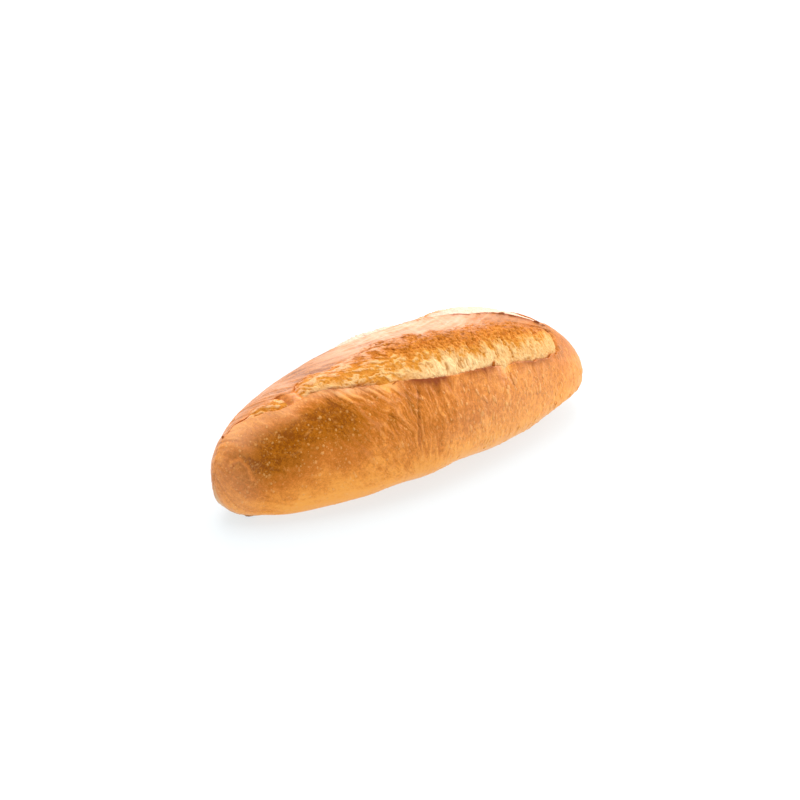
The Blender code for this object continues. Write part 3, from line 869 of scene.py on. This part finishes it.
# Low domes: rings of points at radius r and about r/2 and a top, height h * (1 - (distance / r)^2), sunk
# a little, and a point beneath that closes each
def makeBlisters(grid):
    look = blisterLook
    rng = np.random.default_rng(look["seed"])
    tried, corners = look["tried"], look["corners"]
    i = rng.integers(2, grid["surface"].shape[0] - 2, tried)
    j = rng.integers(2, grid["surface"].shape[1] - 2, tried)
    chance = rng.random(tried)
    x, _, z = grid["surface"][i, j].T
    onWall = grid["wall"][i, j]
    dense = (
        0.06 + 0.44 * hill(x + 0.076, 0.034) * hill(z - 0.038, 0.02) * onWall
        + 0.5 * hill(x - 0.03, 0.045) * hill(z - 0.03, 0.02) * onWall + 0.14 * onWall
    ) * smoothStep(-0.9, 0.3, noiseSolid(grid["surface"][i, j], 0.012, 102))
    masks = grid["masks"]
    take = (chance < dense) & (z > 0.003)
    for key, most in (("torn", 0.01), ("burn", 0.2), ("strip", 0.5)):
        take &= masks[key][i, j] < most
    i, j = i[take], j[take]
    count, spot, out, wide = len(i), grid["surface"][i, j], grid["out"][i, j], grid["wide"][i, j]
    side = np.cross(out, wide)
    low, high = look["radius"]
    radius = low + (high - low) * rng.random(count) ** 4
    radius = radius * (1 + 0.35 * smoothStep(-0.02, 0.02, spot[:, 0]))
    longer = 1 + (0.6 + 1.6 * smoothStep(-0.03, 0.01, spot[:, 0])) * rng.random(count)
    turn = rng.normal(0, 0.3, count)[:, None]
    wide, side = wide * np.cos(turn) + side * np.sin(turn), side * np.cos(turn) - wide * np.sin(turn)
    top = radius * look["high"]
    shell, rise = [spot + out * top[:, None]], [np.ones(count)]
    for share in look["rings"]:
        for a in np.linspace(0, 2 * np.pi, corners, endpoint=False):
            reach = (wide * (np.cos(a) * longer)[:, None] + side * np.sin(a)) * (radius * share)[:, None]
            shell.append(spot + reach + out * (top * (1 - share**2) - look["sunk"] * share)[:, None])
            rise.append(np.full(count, 1 - share**2))
    shell.append(spot - out * look["beneath"])
    rise.append(np.zeros(count))
    faces = []
    for n in range(corners):
        after = (n + 1) % corners
        faces += [
            (0, 1 + n, 1 + after),
            (1 + n, 1 + corners + n, 1 + corners + after, 1 + after),
            (1 + corners + n, 1 + 2 * corners, 1 + corners + after),
        ]
    if np.dot(np.cross(wide[0], side[0]), out[0]) < 0:
        faces = [face[::-1] for face in faces]
    own = masksAt(grid, i, j, len(shell))
    own["blister"] = np.stack(rise, axis=1) * rng.uniform(0.2, 1.0, (count, 1))
    return manyMesh("blisters", np.stack(shell, axis=1), faces, own)


# Flakes: thin chips of crust at the torn edges
flakeLook = {
    "seed": 131,
    "stations": 6,
    "thick": (0.00015, 0.0003),
    "jagged": (0.55, 1.15),
    "lean": 0.6,
    "sunk": 0.0005,
}

flakeGroups = (
    # along the far lip: brown chips that stand up against the pale band
    {"line": "far", "at": (0.048, 0.057), "off": (-0.0004, 0.0002), "long": (0.0045, 0.008),
     "high": (0.0008, 0.0012), "turn": 0.02, "sway": 0.08, "burn": (0.4, 0.75), "bakeAndShading": 0.8,
     "lifted": 0.002},
    {"line": "far", "at": (0.0625, 0.068, 0.073, 0.0775, 0.082, 0.086), "off": (-0.0004, 0.0001),
     "long": (0.0035, 0.0058), "high": (0.0009, 0.0013), "turn": 0.02, "sway": 0.08, "burn": (0.5, 0.8),
     "bakeAndShading": 0.8, "lifted": 0.0027},
    {"line": "far", "at": (0.013, 0.017, 0.03, 0.0345, 0.04), "off": (-0.0004, 0.0002),
     "long": (0.004, 0.007), "high": (0.0007, 0.0011), "turn": 0.05, "burn": (0.0, 0.25), "bakeAndShading": 0.7,
     "lifted": 0.0016},
    # along the near lip
    {"line": "near", "span": (-0.072, 0.08), "off": (-0.0004, 0.0003), "count": 36,
     "long": (0.001, 0.0032), "high": (0.0002, 0.0005), "turn": 0.2, "burn": (0.1, 0.6), "bakeAndShading": 0.6,
     "lifted": 0.001},
    # crumbs of crust in the brown part of the near band
    {"line": "near", "span": (-0.034, 0.004), "off": (0.019, 0.034), "count": 90, "long": (0.001, 0.0028),
     "high": (0.0001, 0.0003), "turn": 0.4, "burn": (0.0, 0.2), "bakeAndShading": 0.6},
    {"line": "near", "span": (0.0, 0.08), "off": (0.014, 0.026), "count": 90, "long": (0.0007, 0.002),
     "high": (0.0002, 0.0005), "turn": 1.4, "burn": (0.0, 0.2), "bakeAndShading": 0.6},
)


# A flake is a low wall of 5 lengths: height high * sin(pi t)^0.6 with a jagged top, bowed by bow * sin(pi t)
def makeFlakes(nearGrid, farGrid):
    look = flakeLook
    rng = np.random.default_rng(look["seed"])
    stations, allPoints, allMasks = look["stations"], [], []
    t = np.linspace(0, 1, stations)[None, :]
    for group in flakeGroups:
        grid = nearGrid if group["line"] == "near" else farGrid
        surface, past = grid["surface"], grid["past"]
        x = np.array(group["at"]) if "at" in group else rng.uniform(*group["span"], group["count"])
        count = len(x)
        i = np.argmin(np.abs(surface[:, 0, 0][None, :] - x[:, None]), axis=1)
        off = rng.uniform(*group["off"], count)
        j = np.argmin(np.abs(past[i] - off[:, None]), axis=1)
        spot, out, wide = surface[i, j], grid["out"][i, j], grid["wide"][i, j]
        # the grid's rings follow the lip, so the way from one to another runs along it
        side = surface[np.minimum(i + 6, len(surface) - 1), j] - surface[np.maximum(i - 6, 0), j]
        side -= out * np.sum(side * out, axis=1, keepdims=True)
        side /= np.linalg.norm(side, axis=1, keepdims=True)
        wide = np.cross(side, out) * np.sign(np.sum(np.cross(side, out) * wide, axis=1, keepdims=True))
        sway = group.get("sway", 0.25)  # of the turn and of the bow
        turn = rng.normal(0, sway, (count, 1)) + group["turn"] * rng.choice((-1, 1), (count, 1))
        way, across = side * np.cos(turn) + wide * np.sin(turn), wide * np.cos(turn) - side * np.sin(turn)
        length, high = rng.uniform(*group["long"], (count, 1)), rng.uniform(*group["high"], (count, 1))
        bow, thick = sway * length * rng.uniform(-1, 1, (count, 1)), rng.uniform(*look["thick"], (count, 1))
        jagged = rng.uniform(*look["jagged"], (count, stations))
        tall = high * np.sin(np.pi * np.clip(t, 0.04, 0.96)) ** 0.6 * jagged
        lean = rng.uniform(-look["lean"], look["lean"], (count, 1))
        lifted = group.get("lifted", 0.0)
        line = spot[:, None] + way[:, None] * ((t - 0.5) * length)[..., None]
        line = line + across[:, None] * (bow * np.sin(np.pi * t))[..., None] + out[:, None] * lifted
        foot, top = -look["sunk"] * np.ones_like(tall), tall
        ring = []
        for share, up in ((-1, foot), (-0.5, top), (0.5, top), (1, foot)):
            shift = share * thick / 2 + (up > 0) * lean * tall
            ring.append(line + across[:, None] * shift[..., None] + out[:, None] * up[..., None])
        points = np.stack(ring, axis=2).reshape(count, stations * 4, 3)
        masks = masksAt(grid, i, j, stations * 4)
        masks["burn"] = forCorners(rng.uniform(*group["burn"], count), stations * 4)
        masks["bakeAndShading"] = forCorners(group["bakeAndShading"] + 0.15 * rng.uniform(-1, 1, count), stations * 4)
        masks["torn"] = masks["torn"] * 0
        allPoints.append(points)
        allMasks.append(masks)
    faces = [(0, 1, 2, 3), tuple((stations - 1) * 4 + n for n in (3, 2, 1, 0))]
    for n in range(stations - 1):
        for k in range(4):
            after = (k + 1) % 4
            faces.append((n * 4 + k, (n + 1) * 4 + k, (n + 1) * 4 + after, n * 4 + after))
    masks = {key: np.concatenate([m[key] for m in allMasks]) for key in allMasks[0]}
    return manyMesh("flakes", np.concatenate(allPoints), faces, masks)


lumpLook = {"seed": 151, "columns": 10, "rows": 5, "shaken": 0.25}

# Small lumps: middle, half sizes, the way of the first of them, how burnt and how dark
lumps = (
    # the dark tooth on the near lip
    {"at": (0.03, -0.0357, 0.056), "half": (0.0017, 0.0008, 0.0007), "way": (0.62, 0.48, 0.62),
     "burn": 0.42, "bakeAndShading": 0.8},
    # a loose crumb under the slim tip, and a speck on its crust
    {"at": (-0.1034, 0.0018, 0.0009), "half": (0.0026, 0.0012, 0.0008), "way": (0.75, -0.66, 0),
     "burn": 0.3, "bakeAndShading": 1.0},
    {"at": (-0.1106, 0.0105, 0.0442), "half": (0.0008, 0.0006, 0.0005), "way": (0.5, 0.6, 0.6),
     "burn": 0.7, "bakeAndShading": 0.9},
)


# Each lump is an ellipsoid of rings between two poles, its points pushed in or out at random
def makeLumps():
    rng = np.random.default_rng(lumpLook["seed"])
    columns, rows, shaken = lumpLook["columns"], lumpLook["rows"], lumpLook["shaken"]
    turn = np.linspace(0, 2 * np.pi, columns, endpoint=False)[None, :]
    rise = (np.arange(1, rows + 1) / (rows + 1) * np.pi)[:, None]
    ball = np.stack([np.cos(rise) + 0 * turn, np.sin(rise) * np.cos(turn), np.sin(rise) * np.sin(turn)], -1)
    ball = np.concatenate([ball.reshape(-1, 3), [(1, 0, 0), (-1, 0, 0)]])
    faces = []
    tip, lastRing = rows * columns, (rows - 1) * columns
    for n in range(columns):
        after = (n + 1) % columns
        faces += [(tip, n, after), (tip + 1, lastRing + after, lastRing + n)]
        for row in range(rows - 1):
            low, high = row * columns, (row + 1) * columns
            faces.append((low + n, high + n, high + after, low + after))
    points, masks = [], {key: [] for key in skinGrid["masks"]}
    for lump in lumps:
        first = np.array(lump["way"]) / np.linalg.norm(lump["way"])
        second = np.cross((0, 0, 1), first)
        second /= np.linalg.norm(second)
        axes = np.stack([first, second, np.cross(first, second)])
        lumpy = ball * np.array(lump["half"]) * rng.uniform(1 - shaken, 1 + shaken, (len(ball), 1))
        spots = np.array(lump["at"]) + lumpy @ axes
        spots[:, 2] = np.maximum(spots[:, 2], 0)
        points.append(spots)
        for key in masks:
            value = lump.get(key, 0.0)
            masks[key].append(spots if key == "skinPlace" else np.full(len(ball), value))
    masks = {key: np.stack(values) for key, values in masks.items()}
    return manyMesh("crumbs", np.stack(points), faces, masks)


# A wire is linked into a socket, and any other value is set on it
def plug(tree, socket, value):
    if isinstance(value, Wire):
        tree.links.new(value.socket, socket)
    else:
        socket.default_value = value


# A socket that takes part in Python sums; each sum adds its Math node
class Wire:
    def __init__(self, tree, socket):
        self.tree, self.socket = tree, socket

    def sum(self, kind, *values):
        node = self.tree.nodes.new("ShaderNodeMath")
        node.operation = kind
        for n, value in enumerate(values):
            plug(self.tree, node.inputs[n], value)
        return Wire(self.tree, node.outputs[0])

    def __add__(self, other):
        return self.sum("ADD", self, other)

    def __sub__(self, other):
        return self.sum("SUBTRACT", self, other)

    def __rsub__(self, other):
        return self.sum("SUBTRACT", other, self)

    def __mul__(self, other):
        return self.sum("MULTIPLY", self, other)

    __radd__, __rmul__ = __add__, __mul__

    def __pow__(self, other):
        return self.sum("POWER", self, other)

    def clamped(self):
        self.socket.node.use_clamp = True
        return self


# A material or a world, and the one way in which its other nodes are made
class Finish:
    def __init__(self, made, shader="Principled BSDF"):
        self.made = made
        made.use_nodes = True
        self.tree = made.node_tree
        self.shader = self.tree.nodes[shader]

    def node(self, kind, settings=None, values=None, output=0):
        node = self.tree.nodes.new("ShaderNode" + kind)
        for key, value in (settings or {}).items():
            setattr(node, key, value)
        for key, value in (values or {}).items():
            plug(self.tree, node.inputs[key], value)
        return Wire(self.tree, node.outputs[output])

    def mask(self, name):
        return self.node("Attribute", {"attribute_name": name}, output="Fac")

    # noise, 0 to 1, at a size in metres; squeeze makes it long or short on each axis
    def noise(self, place, size, detail, rough, squeeze=(1, 1, 1), seed=0.0):
        shift = (seed, seed * 0.37, -seed)
        at = self.node("Mapping", values={"Vector": place, "Location": shift, "Scale": squeeze})
        look = {"Vector": at, "Scale": 1 / size, "Detail": detail, "Roughness": rough}
        return self.node("TexNoise", values=look)

    # 0 below low, 1 above high
    def between(self, value, low, high):
        ends = {"Value": value, "From Min": low, "From Max": high}
        return self.node("MapRange", {"interpolation_type": "SMOOTHSTEP"}, ends)

    # from the first colour to the second; a Mix node keeps its colours in sockets 6 and 7
    def mix(self, share, first, second):
        node = self.tree.nodes.new("ShaderNodeMix")
        node.data_type, node.clamp_factor = "RGBA", True
        for n, value in ((0, share), (6, first), (7, second)):
            plug(self.tree, node.inputs[n], value)
        return Wire(self.tree, node.outputs[2])

    def feed(self, **links):
        for key, value in links.items():
            plug(self.tree, self.shader.inputs[key.replace("_", " ")], value)


# Screen colour of 0 to 255 as the linear one that nodes take
def colour(red, green, blue):
    linear = [((c / 255 + 0.055) / 1.055) ** 2.4 if c > 10 else c / 255 / 12.92 for c in (red, green, blue)]
    return (*linear, 1.0)


crustColours = {
    "pale": colour(255, 174, 78),
    "golden": colour(247, 159, 66),
    "fleck": colour(250, 176, 98),
    "brown": colour(212, 122, 40),
    "dark": colour(176, 100, 4),
    "deepest": colour(146, 76, 4),
    "burnt": colour(144, 70, 32),
    # the painted highlight's whitish pink
    "cream": colour(254, 216, 156),
    "farCream": colour(238, 210, 192),
    "paintedHighlight": colour(240, 186, 150),
    "crumbGold": colour(230, 158, 62),
    "crumbShade": colour(188, 112, 30),
    "blister": colour(248, 190, 116),
    "flour": colour(222, 176, 116),
}


crustLook = {
    "bendScale": 160.0,
    "bend": 0.003,
    "speckScale": 330.0,
    "bumpStrength": 0.7,
    "bumpDistance": 0.0006,
    "coat": 0.85,
    "coatRoughness": 0.3,
    "ior": 1.45,
    "specular": 0.08,
}


# One material for skin, crumb, blisters and flakes; the meshes' masks say where it is which
def crustMaterial():
    crust = Finish(bpy.data.materials.new("bakedCrust"))
    spot = crust.node("TexCoord", output="Object")
    onSkin = crust.node("Attribute", {"attribute_name": "skinPlace"}, output="Vector")
    names = ("bakeAndShading", "burn", "torn", "pale", "hollowShade", "strip", "paintedHighlightAndCream", "calm", "sheen", "sole", "blister")
    bakeAndShading, burn, torn, pale, hollowShade, strip, paintedHighlightAndCream, calm, sheen, sole, blister = map(crust.mask, names)
    c, look = crustColours, crustLook

    bending = {"Vector": spot, "Scale": look["bendScale"], "Detail": 2.0}
    bend = crust.node("TexNoise", values=bending, output="Color")
    bent = {0: bend, 1: (look["bend"], look["bend"], 0), 2: onSkin}
    wavy = crust.node("VectorMath", {"operation": "MULTIPLY_ADD"}, bent, output="Vector")
    patches = crust.noise(spot, 0.011, 3, 0.6)
    mottle = crust.noise(spot, 0.0018, 4, 0.68, seed=0.3)
    grain = crust.noise(spot, 0.0006, 3, 0.65, seed=0.9)

    # one noise that runs down the wall, and another along the loaf where the strip mask says so
    def running(down, along):
        return crust.noise(wavy, *down) * (1 - strip) + crust.noise(wavy, *along) * strip

    streaks = running((0.0015, 3, 0.6, (1, 0.32, 1), 0.5), (0.0026, 4, 0.6, (0.14, 1, 1), 0.7))
    fibres = running((0.0008, 3, 0.6, (1, 0.4, 1), 1.1), (0.001, 3, 0.6, (0.2, 1, 1), 1.3))
    specked = {"Vector": spot, "Scale": look["speckScale"], "Randomness": 1.0}
    specks = crust.node("TexVoronoi", {"feature": "F1"}, specked)
    spark = crust.between(specks, 0.24, 0.1) * crust.between(patches, 0.42, 0.6)
    # the same noises about zero
    mottled, grainy, streaky, fibrous = (noise - 0.5 for noise in (mottle, grain, streaks, fibres))

    # the skin's colour: from golden to dark as it bakes
    lined = 1 - calm * 0.75
    bakedAndShaded = bakeAndShading + (patches - 0.5) * 0.25 + mottled * 0.7 + streaky * lined * (0.7 - strip * 0.25)
    # darker where the hollow-shade mask is high: painted shade
    bakedAndShaded = (bakedAndShaded + grainy * 0.6 + fibrous * lined * 0.6 + hollowShade * 0.08).clamped()
    skinColour = crust.node("ValToRGB", values={"Fac": bakedAndShaded})
    ramp = skinColour.socket.node.color_ramp
    stops = ((0.0, "pale"), (0.16, "golden"), (0.5, "brown"), (0.86, "dark"), (1.0, "deepest"))
    while len(ramp.elements) < len(stops):
        ramp.elements.new(0.5)
    for element, (at, shade) in zip(ramp.elements, stops):
        element.position, element.color = at, c[shade]
    dashes = crust.noise(wavy, 0.0011, 2, 0.55, squeeze=(1, 0.42, 1), seed=1.7)
    # the painted highlight first, then flecks, blisters and flour on the sole
    for share, shade in (
        (paintedHighlightAndCream * (0.35 + fibres * 0.9), "paintedHighlight"),
        (crust.between(dashes, 0.54, 0.72) * (1 - strip) * (1 - calm * 0.4) * 0.36, "fleck"),
        (spark * 0.3, "blister"),
        ((blister ** 0.7) * 0.54, "blister"),
        (sole * (0.35 + 0.5 * mottle), "flour"),
    ):
        skinColour = crust.mix(share, skinColour, c[shade])

    # the crumb's colour
    tuft = fibrous * (0.6 + pale * 0.7) + mottled * (1.4 - pale * 0.6) + grainy * 0.6
    # the crumb darker and less creamy where the hollow-shade mask is high: painted shade
    crumbColour = crust.mix((0.42 + tuft + hollowShade * 0.45).clamped(), c["crumbGold"], c["crumbShade"])
    creamy = (pale + fibrous * 0.6 + mottled * 0.5 - hollowShade * 0.35).clamped()
    crumbColour = crust.mix(creamy, crumbColour, c["cream"])
    # the same mask makes the crumb the pale far cream, and above it puts the painted highlight on the skin's
    # colour
    crumbColour = crust.mix(paintedHighlightAndCream, crumbColour, c["farCream"])
    toasted = crust.between(bakeAndShading + fibrous * 0.25 + mottled * 0.4, 0.22, 0.86)
    crumbColour = crust.mix(toasted * 0.95, crumbColour, skinColour)
    finalColour = crust.mix(torn, skinColour, crumbColour)
    finalColour = crust.mix((burn * (0.75 + 0.5 * grain)).clamped(), finalColour, c["burnt"])

    rough = 0.36 + 0.12 * mottle + torn * 0.34 + sole * 0.3
    bumps = grainy * (0.35 + torn * 0.3) + mottled * 0.7 + streaky * (1 - torn) * lined * 0.55
    bumps = bumps + fibrous * (0.28 + torn * 0.9) * lined
    raised = {"Strength": look["bumpStrength"], "Distance": look["bumpDistance"], "Height": bumps}
    normal = crust.node("Bump", values=raised, output="Normal")
    coat = (1 - torn) * sheen * look["coat"]
    crust.feed(Base_Color=finalColour, Roughness=rough, Normal=normal, Coat_Weight=coat)
    crust.feed(Coat_Roughness=look["coatRoughness"], IOR=look["ior"], Specular_IOR_Level=look["specular"])
    return crust.made


print("painting")
bakedCrust = crustMaterial()
loafSkin = place("loafSkin", ringMesh("loafSkin", skinRings, loafTips, skinMasks), bakedCrust)
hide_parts("loaf")
nearMesh, nearGrid = makeCrumb(nearCrumb)
farMesh, farGrid = makeCrumb(farCrumb)
place("nearCrumb", nearMesh, bakedCrust)
place("farCrumb", farMesh, bakedCrust)
place("blisters", makeBlisters(skinGrid), bakedCrust)
place("flakes", makeFlakes(nearGrid, farGrid), bakedCrust)
place("crumbs", makeLumps(), bakedCrust)

# The studio: floor, light and camera
studio = {
    "floorHalf": 3.0,
    "floorWhite": 0.26,
    "floorGlow": 0.725,  # the table is lit from below
    "floorTint": (0.884, 0.964, 1.0, 1),
    "floorRoughness": 0.9,
    "roomFront": 0.45,  # the room is darker behind the camera and bright across from it
    "roomBack": 1.05,
    "brightWay": (0.55, 0.75, 0.35),
    "brightEnds": (-0.45, 0.75),
    "backdrop": 1.2,  # what the camera itself sees of the room
    # name, place, size, watts
    "lamps": (
        ("overhead", (0.05, 0.1, 1.3), 1.2, 10.0),
        ("behind", (0.62, 0.85, 0.85), 1.0, 8.0),
        ("side", (1.1, -0.3, 0.5), 0.8, 8.0),
        ("low", (-0.4, -1.0, 0.22), 0.8, 1.7),
    ),
    "lampTarget": (0, 0, 0.02),
    "cameraTurn": -41.4032,  # degrees
    "cameraRise": 27.0,
    "cameraDistance": 0.8,
    "cameraTarget": (-0.0037, 0.0, 0.0327),
    "focal": 1503.62,  # in pixels of the 800 pixel frame
    "frame": 800,
    "sensor": 36.0,
    "nearest": 0.01,  # the camera sees nothing closer than this
}


# Turn a lamp or the camera so that it looks along its own -Z at the target, upright
def lookAt(thing, target):
    way = np.array(target) - np.array(thing.location)
    back = -way / np.linalg.norm(way)
    right = np.cross((0, 0, 1), back)
    right /= np.linalg.norm(right)
    up = np.cross(back, right)
    axes = np.stack([right, up, back], axis=1)
    thing.matrix_world = Matrix([[*axes[n], thing.location[n]] for n in range(3)] + [[0, 0, 0, 1]])


# A glowing floor, a room that is brighter on one side, the lamps and the camera
def makeStudio():
    scene = bpy.context.scene
    scene.view_settings.view_transform = "Standard"
    half = studio["floorHalf"]
    mesh = bpy.data.meshes.new("floor")
    corners = [(-half, -half, 0), (half, -half, 0), (half, half, 0), (-half, half, 0)]
    mesh.from_pydata(corners, [], [(0, 1, 2, 3)])
    floor = bpy.data.objects.new("floor", mesh)
    white = Finish(bpy.data.materials.new("floorWhite"))
    white.feed(Base_Color=(studio["floorWhite"],) * 3 + (1,), Roughness=studio["floorRoughness"])
    white.feed(Emission_Color=studio["floorTint"], Emission_Strength=studio["floorGlow"])
    mesh.materials.append(white.made)
    scene.collection.objects.link(floor)

    room = Finish(bpy.data.worlds.new("room"), "Background")
    way = room.node("TexCoord", output="Generated")
    ways = {0: way, 1: studio["brightWay"]}
    across = room.node("VectorMath", {"operation": "DOT_PRODUCT"}, ways, output="Value")
    bright = room.between(across, *studio["brightEnds"]) * (studio["roomBack"] - studio["roomFront"])
    bright = bright + studio["roomFront"]
    seen = room.node("LightPath", output="Is Camera Ray")
    room.feed(Color=(1, 1, 1, 1), Strength=bright * (1 - seen) + seen * studio["backdrop"])
    scene.world = room.made
    for name, spot, size, watts in studio["lamps"]:
        lamp = bpy.data.lights.new(name, "AREA")
        lamp.size, lamp.energy = size, watts
        thing = bpy.data.objects.new(name, lamp)
        scene.collection.objects.link(thing)
        thing.location = spot
        lookAt(thing, studio["lampTarget"])

    camera = bpy.data.objects.new("camera", bpy.data.cameras.new("camera"))
    camera.data.sensor_width = studio["sensor"]
    camera.data.lens = studio["focal"] / studio["frame"] * studio["sensor"]
    camera.data.clip_start = studio["nearest"]
    scene.collection.objects.link(camera)
    turn, rise = math.radians(studio["cameraTurn"]), math.radians(studio["cameraRise"])
    back = (math.sin(turn) * math.cos(rise), -math.cos(turn) * math.cos(rise), math.sin(rise))
    camera.location = [t + studio["cameraDistance"] * b for t, b in zip(studio["cameraTarget"], back)]
    lookAt(camera, studio["cameraTarget"])
    scene.camera = camera


makeStudio()
print("studio ready")
